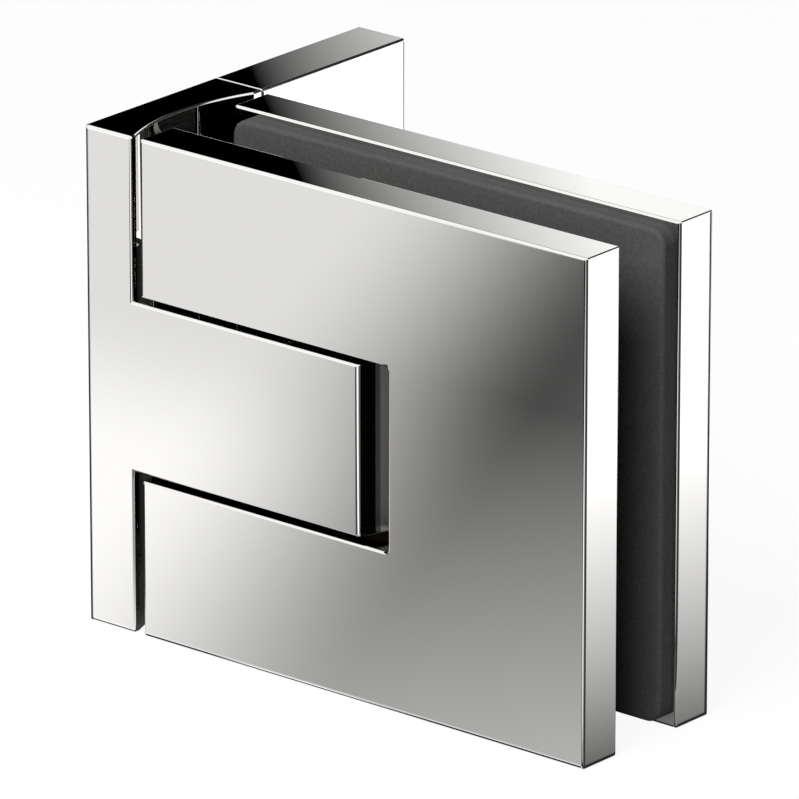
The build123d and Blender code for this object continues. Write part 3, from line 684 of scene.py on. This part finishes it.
def makePad(name, node, glassSide):
    f = padForm
    low, high = span(node)
    c, r, n, e = f["corner"], f["rim"], f["innerTop"], f["innerEnd"]
    outline = roundedOutline([(low[0], low[2], c, r), (high[0], low[2], c, r), (high[0], high[2], c, r),
                              (low[0], high[2], c, r), (low[0], n, c, r), (e, n, c, r), (e, -n, c, r),
                              (low[0], -n, c, r)], f["steps"])
    isHigh = glassSide > 0
    surfaces = [pulledWall(outline, low[1], high[1], 1, not isHigh, isHigh),
                flatEnd(outline, low[1], 1, -1, hasRim=not isHigh), flatEnd(outline, high[1], 1, 1, hasRim=isHigh)]
    makePiece(name, surfaces, node)


# wall bracket: body hollowed about the pivot, knuckle with a bowed nose, screw flange
bracketForm = {"rim": 0.55, "nearCorner": 0.35, "corner": 0.5, "landCorner": 0.12, "thickness": 10.3,
               "pivot": (46.0, -19.5), "scoopRim": 0.4, "scoopSteps": 96, "clampGap": 2.05, "swingGap": 1.3,
               "seam": -2.0, "seamCorner": 0.3, "tongueHalf": 15.45, "tongueSide": 60.7, "root": 6.9,
               "noseBulge": 3.8, "noseSteps": 32, "noseRim": 0.25, "noseCorner": 0.87,
               "boreRadius": 8.04, "boreSteps": 96, "flangeBack": 0.01, "flangeDepth": 5.0, "flangeStart": -2.2,
               "flangeEnd": 33.05, "flangeHalf": 41.85, "flangeCorner": 0.4, "holeRadius": 2.75, "headRadius": 5.2,
               "holeY": 15.525, "holeStepY": 9.0, "holeZ": 30.0, "plugRadius": 6.02, "plugDepth": 6.5}


def makeBracket():
    f = bracketForm
    low, high = span("wall_bracket")
    rear = span("rear_plate")[1][1]
    (px, py), thick = f["pivot"], f["thickness"]
    # body: in plan, a block with a round hollow about the pivot
    scoop = math.hypot(px - thick - f["clampGap"], (rear - low[1]) / 2) + f["swingGap"]
    half = math.asin(math.sqrt(scoop ** 2 - (px - thick) ** 2) / scoop)
    turn = np.linspace(-half, half, f["scoopSteps"] + 1)[1:-1]
    s, c, seam, seamCorner = f["scoopRim"], f["landCorner"], f["seam"], f["seamCorner"]
    arc = np.stack([px - scoop * np.cos(turn), py + scoop * np.sin(turn), 0 * turn, 0 * turn + s], axis=-1)
    y1, y2 = py - scoop * math.sin(half), py + scoop * math.sin(half)
    body = roundedOutline([(0, low[1], f["nearCorner"], f["rim"]), (thick, low[1], f["corner"], s),
                           (thick, y1, c, s), *arc, (thick, y2, c, s), (thick, seam, seamCorner, seamCorner),
                           (0, seam, 0, 0)])
    # the wall face is made flat, with the plug's hole in it
    near, plug, deep = low[1] + f["nearCorner"], f["plugRadius"], f["plugDepth"]
    wallFace = roundedOutline([(near, low[2], 0, 0), (seam, low[2], 0, 0), (seam, high[2], 0, 0),
                               (near, high[2], 0, 0)])
    surfaces = [withoutFlat(pulledWall(body, low[2], high[2], 2), 0, 0),
                flatEnd(wallFace, 0, 0, -1, [circle((py, 0), plug)]),
                turnedSurface([(plug, 0), (plug, deep), (0, deep)], (py, 0), 0, -1),
                flatEnd(body, low[2], 2, -1), flatEnd(body, high[2], 2, 1)]
    # knuckle: in plan, flush with the flat of the body's front, rooted inside the body, its nose an arc
    half, side, bulge = f["tongueHalf"], f["tongueSide"], f["noseBulge"]
    start, root, r, s, c = thick - f["corner"], f["root"], f["rim"], f["noseRim"], f["noseCorner"]
    chord = (rear - low[1]) / 2
    radius = (chord ** 2 + bulge ** 2) / (2 * bulge)
    turn = np.linspace(-1, 1, f["noseSteps"] + 1)[1:-1] * math.asin(chord / radius)
    noseX = side + bulge - radius + radius * np.cos(turn)
    nose = np.stack([noseX, py + radius * np.sin(turn), 0 * turn, 0 * turn + s], axis=-1)
    plan = roundedOutline([(start, low[1], 0, r), (side, low[1], c, s), *nose, (side, rear, c, r),
                           (start, rear, 0, 0), (start, y2, 0, 0), (root, y2, 0, 0), (root, y1, 0, 0),
                           (start, y1, 0, 0)])
    bore = circle(f["pivot"], f["boreRadius"], f["boreSteps"])
    surfaces += [pulledWall(plan, -half, half, 2),
                 flatEnd(plan, -half, 2, -1, [bore]), flatEnd(plan, half, 2, 1, [bore]),
                 turnedSurface([(f["boreRadius"], -half), (f["boreRadius"], half)], f["pivot"], 2, -1, f["boreSteps"])]
    # flange: a plate with four countersunk holes for the wall screws, its back a hair off the body's wall face
    back, depth, tall, c = f["flangeBack"], f["flangeDepth"], f["flangeHalf"], f["flangeCorner"]
    start, end = f["flangeStart"], f["flangeEnd"]
    flange = roundedOutline([(start, -tall, 0, 0), (end, -tall, c, 0), (end, tall, c, 0), (start, tall, 0, 0)])
    spots = [(f["holeY"] + a * f["holeStepY"], b * f["holeZ"]) for a in (-1, 1) for b in (-1, 1)]
    sinkX = depth - (f["headRadius"] - f["holeRadius"])
    surfaces += [pulledWall(flange, back, depth, 0, False, False),
                 flatEnd(flange, back, 0, -1, [circle(spot, f["holeRadius"]) for spot in spots]),
                 flatEnd(flange, depth, 0, 1, [circle(spot, f["headRadius"]) for spot in spots])]
    hole = [(f["holeRadius"], back), (f["holeRadius"], sinkX), (f["headRadius"], depth)]
    surfaces += [turnedSurface(hole, spot, 0, -1) for spot in spots]
    makePiece("wallBracket", surfaces, "wall_bracket")


# screw cover: a shell open to the wall, lower along the side where the flange goes in
coverForm = {"rim": 0.5, "corner": 0.25, "pocketHalf": 42.0, "pocketDepth": 8.3, "wall": 3.0, "flangeGap": 5.15,
             "screwX": 2.5, "screwY": (7.0, 27.2), "screwRadius": 1.52}


def makeCover():
    f = coverForm
    (x0, y0, z0), (x1, y1, z1) = span("cover_cap")
    p, w, c, r, gap = f["pocketHalf"], f["wall"], f["corner"], f["rim"], f["flangeGap"]
    outer = [(y0, z0, c, r), (y1, z0, c, r), (y1, z1, c, r), (y0, z1, c, r)]
    ring = roundedOutline(outer + [(y0, p, 0, r), (y0, -p, 0, r)])
    openRing = roundedOutline(outer + [(y0, p, 0, 0), (y0 + w, p, 0, 0), (y1 - w, p, 0, 0), (y1 - w, -p, 0, 0),
                                       (y0 + w, -p, 0, 0), (y0, -p, 0, 0)])
    sill = roundedOutline([(y0, -p, 0, 0), (y0 + w, -p, 0, 0), (y0 + w, p, 0, 0), (y0, p, 0, 0)])
    pocket = inverted(roundedOutline([(y0 + w, -p, 0, 0), (y1 - w, -p, 0, 0), (y1 - w, p, 0, 0), (y0 + w, p, 0, 0)]))
    # the underside is made flat, with the holes of the two cover screws
    under = roundedOutline([(x0, y0 + c, 0, 0), (gap, y0 + c, 0, 0), (gap, y1 - c, 0, 0), (x0, y1 - c, 0, 0)])
    spots, hole = [(f["screwX"], y) for y in f["screwY"]], f["screwRadius"]
    surfaces = [withoutFlat(pulledWall(openRing, x0, gap, 0, False, False), z0, 2),
                flatEnd(openRing, x0, 0, -1, hasRim=False),
                flatEnd(under, z0, 2, -1, [circle(spot, hole) for spot in spots]),
                *(turnedSurface([(hole, z0), (hole, -p)], spot, 2, -1) for spot in spots),
                pulledWall(ring, gap, x1, 0, False, True), flatEnd(ring, x1, 0, 1), flatEnd(sill, gap, 0, -1),
                pulledWall(pocket, gap, f["pocketDepth"], 0, False, False), flatEnd(pocket, f["pocketDepth"], 0, -1)]
    makePiece("coverCap", surfaces, "cover_cap")


makeFrontPlate()
makeRearPlate()
makePad("frontPad", "front_pad", 1)
makePad("rearPad", "rear_pad", -1)
makeBracket()
makeCover()
print("plated bodies and pads made")


# screws: heights run from the tip to the driven end, which faces the way "drive" says along "axis".
# A sunk head has a rounding "edge" at its rim; a cap head has its rounding "foot" below and a two-step "crown"
screwForm = {"clamp_screw": {"axis": 1, "drive": 1, "radius": 3.0, "pitch": 1.0, "hex": 4.0, "deep": 2.2,
                             "head": 6.0, "headHeight": 3.0, "edge": (0.1, 0.25)},
             "holder_screw": {"axis": 1, "drive": 1, "radius": 2.0, "pitch": 0.7, "hex": 3.0, "deep": 2.0,
                              "head": 3.5, "headHeight": 4.0, "foot": 0.15, "crown": (0.12, 0.4)},
             "pin_lock_screw": {"axis": 0, "drive": -1, "radius": 2.5, "pitch": 0.8, "hex": 2.5, "deep": 2.0},
             "cover_screw": {"axis": 2, "drive": -1, "radius": 1.5, "pitch": 0.5, "hex": 1.5, "deep": 1.5},
             "spring_plug": {"axis": 0, "drive": -1, "radius": 6.0, "pitch": 1.0, "hex": 6.0, "deep": 3.0}}
hexCorner = 0.05                                # rounding of a hexagon socket's corners


def makeScrew(node, f, count=48):
    low, high = span(node)
    axis, sign, r, pitch = f["axis"], f["drive"], f["radius"], f["pitch"]
    centre = np.delete((low + high) / 2, axis)
    tip, length = (low if sign > 0 else high)[axis], (high - low)[axis]
    core = r - threadForm["depth"] * pitch

    def at(h):                                  # height above the tip to a place along the axis
        return tip + sign * h

    threadEnd = length - (f["headHeight"] + threadForm["neck"] if "head" in f else threadForm["runOut"] * pitch)
    threadStart = threadForm["runIn"] * pitch
    tipProfile = [(0, at(0)), (core, at(0)), (r, at(threadStart))]
    if "edge" in f:
        head, (outer, inner) = f["head"], f["edge"]
        top = head - inner
        headProfile = [(r, at(threadEnd)), (r, at(length - f["headHeight"])), (head - outer, at(length - outer)),
                       (top, at(length))]
    elif "crown" in f:
        head, foot, base, (outer, inner) = f["head"], f["foot"], length - f["headHeight"], f["crown"]
        top = head - inner
        headProfile = [(r, at(threadEnd)), (r, at(base)), (head - foot, at(base)), (head, at(base + foot)),
                       (head, at(length - inner)), (head - outer, at(length - outer)), (top, at(length))]
    else:
        top = core
        headProfile = [(r, at(threadEnd)), (core, at(length))]
    angle = ringAngles(6) + math.pi / 6
    corner = f["hex"] / 2 / math.cos(math.pi / 6)
    hexagon = roundedOutline([(centre[0] + corner * math.cos(a), centre[1] + corner * math.sin(a), hexCorner, 0)
                              for a in angle], 2)
    rimLoop = circle(centre, top, count)
    face = (rimLoop, None, 0 * rimLoop, np.zeros(len(rimLoop)), None)
    surfaces = [turnedSurface(tipProfile, centre, axis, sign, count),
                turnedSurface(headProfile, centre, axis, sign, count),
                threadSurface(r, pitch, at(threadStart), at(threadEnd), centre, axis, count),
                flatEnd(face, at(length), axis, sign, [hexagon[0]]),
                pulledWall(inverted(hexagon), *sorted((at(length - f["deep"]), at(length))), axis, False, False),
                flatEnd(hexagon, at(length - f["deep"]), axis, sign)]
    words = node.split("_")
    makePiece(words[0] + "".join(word.capitalize() for word in words[1:]), surfaces, node)


for node in sorted(nodes):
    for kind, f in screwForm.items():
        if kind in node:
            makeScrew(node, f)
print("screws and plug made")


# spring: round wire along a helix whose ends close to one wire's pitch
springForm = {"wire": 1.2, "pitch": 2.2, "turns": 5.0, "endTurns": 1.0, "aroundWire": 14, "perTurn": 40}


def makeSpring():
    f = springForm
    low, high = span("centring_spring")
    wire = f["wire"] / 2
    coil = (high[1] - low[1]) / 2 - wire
    share = np.linspace(0, 1, int(f["turns"] * f["perTurn"]) + 1)
    angle = share * f["turns"] * 2 * math.pi
    # the climb is slow over the end turns and even between them
    rate = f["turns"] / f["endTurns"]
    ease = np.clip(share * rate, 0, 1) + np.clip((1 - share) * rate, 0, 1) - 1
    speed = f["wire"] + (f["pitch"] - f["wire"]) * ease
    climb = np.concatenate([[0], np.cumsum((speed[1:] + speed[:-1]) / 2)])
    x = low[0] + wire + climb / climb[-1] * (high[0] - low[0] - 2 * wire)
    centre = (low + high) / 2
    line = np.stack([x, centre[1] + coil * np.cos(angle), centre[2] + coil * np.sin(angle)], axis=-1)
    along = np.gradient(line, axis=0)
    along /= np.linalg.norm(along, axis=1)[:, None]
    out = np.stack([0 * angle, np.cos(angle), np.sin(angle)], axis=-1)
    third = np.cross(along, out)
    third /= np.linalg.norm(third, axis=1)[:, None]
    out = np.cross(third, along)
    turn = ringAngles(f["aroundWire"])[None, :, None]
    way = np.cos(turn) * out[:, None] + np.sin(turn) * third[:, None]
    rows = line[:, None] + wire * way
    first, last = (np.repeat(end[:, None], f["aroundWire"], 1) for end in (line[:1], line[-1:]))
    surfaces = [gridSurface(rows, way),
                gridSurface(np.concatenate([first, rows[:1]]), np.broadcast_to(-along[0], (2, *first.shape[1:]))),
                gridSurface(np.concatenate([rows[-1:], last]), np.broadcast_to(along[-1], (2, *first.shape[1:])))]
    makePiece("centringSpring", surfaces, "centring_spring")


makeSpring()
print("spring made")
